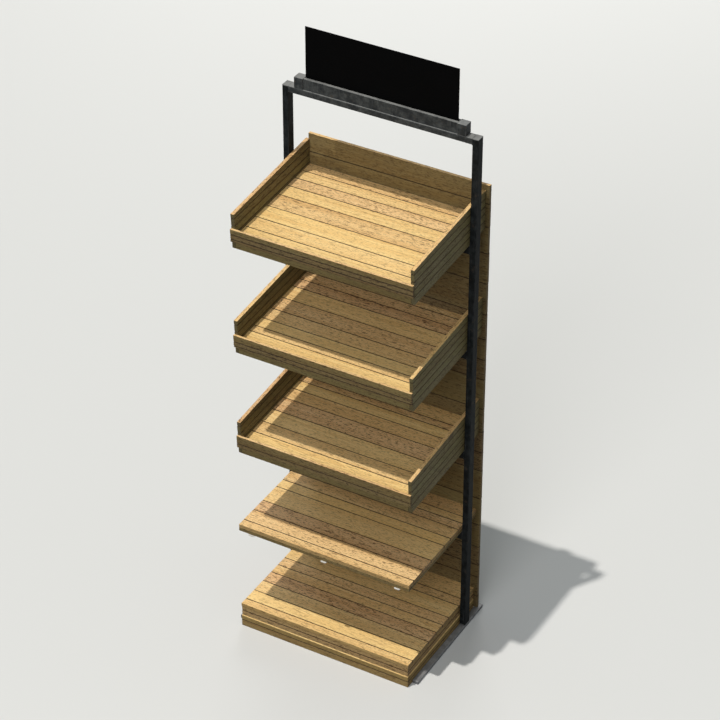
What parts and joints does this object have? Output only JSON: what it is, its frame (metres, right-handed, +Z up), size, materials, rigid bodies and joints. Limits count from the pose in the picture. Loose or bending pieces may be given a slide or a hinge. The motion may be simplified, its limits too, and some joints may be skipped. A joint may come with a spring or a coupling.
{
  "type": "display rack",
  "caption": "Free-standing display rack: dark steel portal frame, tilted plank trays over a flat shelf and base box, plank back panel, and a blank sign sheet lifting out of a slot.",
  "frame": {"origin": "on the floor, under the middle of the rack's overall box", "axes": "+Z up, -Y towards the shopper, +X to the right seen from the front"},
  "size_m": [0.647, 0.4735, 2.0033],
  "materials": {
    "plank_wood": "oiled pale pine planks with dark seams and knots",
    "bearer_wood": "planed raw pine bearers",
    "dark_steel": "mottled charcoal lacquered steel",
    "foot_steel": "worn grey lacquered steel",
    "cap_plastic": "grey tube end cap",
    "sign_black": "blank matt black sheet"
  },
  "bodies": {
    "rack": {"left_post": "dark_steel", "left_post_cap": "cap_plastic", "left_foot": "foot_steel", "right_post": "dark_steel", "right_post_cap": "cap_plastic", "right_foot": "foot_steel", "top_crossbar": "dark_steel", "tray_1_floor": "plank_wood", "tray_1_lip": "plank_wood", "tray_1_front_strip": "plank_wood", "tray_1_left_wall": "plank_wood", "tray_1_right_wall": "plank_wood", "tray_1_left_cleat": "bearer_wood", "tray_1_left_arm": "dark_steel", "tray_1_right_cleat": "bearer_wood", "tray_1_right_arm": "dark_steel", "tray_1_rail": "dark_steel", "tray_2_floor": "plank_wood", "tray_2_lip": "plank_wood", "tray_2_front_strip": "plank_wood", "tray_2_left_wall": "plank_wood", "tray_2_right_wall": "plank_wood", "tray_2_left_cleat": "bearer_wood", "tray_2_left_arm": "dark_steel", "tray_2_right_cleat": "bearer_wood", "tray_2_right_arm": "dark_steel", "tray_2_rail": "dark_steel", "tray_3_floor": "plank_wood", "tray_3_lip": "plank_wood", "tray_3_front_strip": "plank_wood", "tray_3_left_wall": "plank_wood", "tray_3_right_wall": "plank_wood", "tray_3_left_cleat": "bearer_wood", "tray_3_left_arm": "dark_steel", "tray_3_right_cleat": "bearer_wood", "tray_3_right_arm": "dark_steel", "tray_3_rail": "dark_steel", "shelf_4_floor": "plank_wood", "shelf_4_front_frame": "plank_wood", "shelf_4_left_frame": "plank_wood", "shelf_4_right_frame": "plank_wood", "shelf_4_left_arm": "dark_steel", "shelf_4_right_arm": "dark_steel", "shelf_4_rail": "dark_steel", "base_floor": "plank_wood", "base_front_plinth": "plank_wood", "base_left_plinth": "plank_wood", "base_right_plinth": "plank_wood", "base_front_fascia": "plank_wood", "base_left_fascia": "plank_wood", "base_right_fascia": "plank_wood", "base_bearer": "bearer_wood", "back_panel": "plank_wood", "back_left_batten": "bearer_wood", "sign_left_block": "dark_steel", "back_right_batten": "bearer_wood", "sign_right_block": "dark_steel", "sign_front_bar": "dark_steel", "sign_rear_bar": "dark_steel"},
    "sign": {"sign_sheet": "sign_black"}
  },
  "joints": [
    {"name": "sign_lift", "type": "slide", "parent": "rack", "child": "sign", "axis": [0, 0, 1], "range_m": [0, 0.032]}
  ]
}
